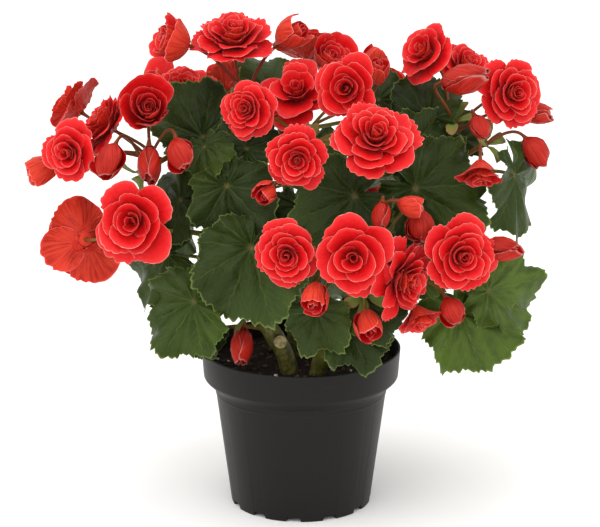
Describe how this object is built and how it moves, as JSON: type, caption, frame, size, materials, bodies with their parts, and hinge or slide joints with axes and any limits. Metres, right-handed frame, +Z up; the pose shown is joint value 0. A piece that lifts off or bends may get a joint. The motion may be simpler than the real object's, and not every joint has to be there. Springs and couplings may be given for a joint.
{
  "type": "potted begonia",
  "caption": "Flowering begonia with layered red double blooms, drooping buds and toothed lopsided leaves, growing in soil in a tapered round plastic nursery pot.",
  "frame": {"origin": "on the pot's axis, on the flat underside of its centre pad, which is level with the foot ring that the pot stands on", "axes": "+Z up along the pot's axis, -Y towards the side with the most blooms, +X to the right as seen from there"},
  "size_m": [0.3391, 0.2567, 0.3247],
  "materials": {
    "pot_plastic": "charcoal black, low sheen",
    "potting_soil": "dark brown, crumbly, with white perlite grains",
    "leaf_and_stem": "green, soft satin sheen, paler veins and edges",
    "petals": "coral red, soft satin, paler rims",
    "bud_petals": "salmon coral with fine darker veins"
  },
  "bodies": {
    "root": {"pot": "pot_plastic", "soil": "potting_soil", "leafy_stem_left": "leaf_and_stem", "bud_left_inner": "bud_petals", "bud_left_middle": "bud_petals", "bud_left_front": "bud_petals", "bloom_left_cup": "petals", "bloom_left_side": "petals", "bloom_left_far": "petals", "bloom_left_back": "petals", "bud_left_far": "bud_petals", "bloom_left_top": "petals", "bloom_left_rear": "petals", "bloom_left_low": "petals", "bloom_left_turned": "petals", "bud_over_soil": "bud_petals", "leafy_stem_right": "leaf_and_stem", "bud_right_top": "bud_petals", "bloom_right_side": "petals", "bloom_right_top": "petals", "bloom_right_far": "petals", "bud_right_far": "bud_petals", "bud_right_low": "bud_petals", "bud_right_hanging": "bud_petals", "bloom_right_hanging": "petals", "leafy_stem_front": "leaf_and_stem", "bud_front_inner": "bud_petals", "bud_front_top": "bud_petals", "bloom_front_left": "petals", "bloom_front_middle": "petals", "bloom_front_turned": "petals", "bloom_front_right": "petals", "bud_front_right": "bud_petals", "bud_front_middle": "bud_petals", "bud_front_low_left": "bud_petals", "bud_front_lowest": "bud_petals", "bloom_front_low": "petals", "bud_front_low_right": "bud_petals", "leafy_stem_middle": "leaf_and_stem", "bloom_crown": "petals", "bloom_crown_left": "petals", "bud_crown_right": "bud_petals", "bud_middle_low": "bud_petals", "bloom_middle_low": "petals", "bloom_middle_left": "petals", "bloom_middle_large": "petals", "bloom_middle_right": "petals", "bloom_middle_rear": "petals", "bloom_middle_top": "petals", "bud_middle_top": "bud_petals", "leafy_stem_back": "leaf_and_stem", "bloom_back_top": "petals", "bloom_back_left": "petals", "bloom_back_right": "petals", "bud_back_top": "bud_petals", "bud_back_left": "bud_petals", "bloom_back_middle": "petals", "bloom_back_low": "petals", "bud_back_low": "bud_petals"}
  },
  "joints": []
}
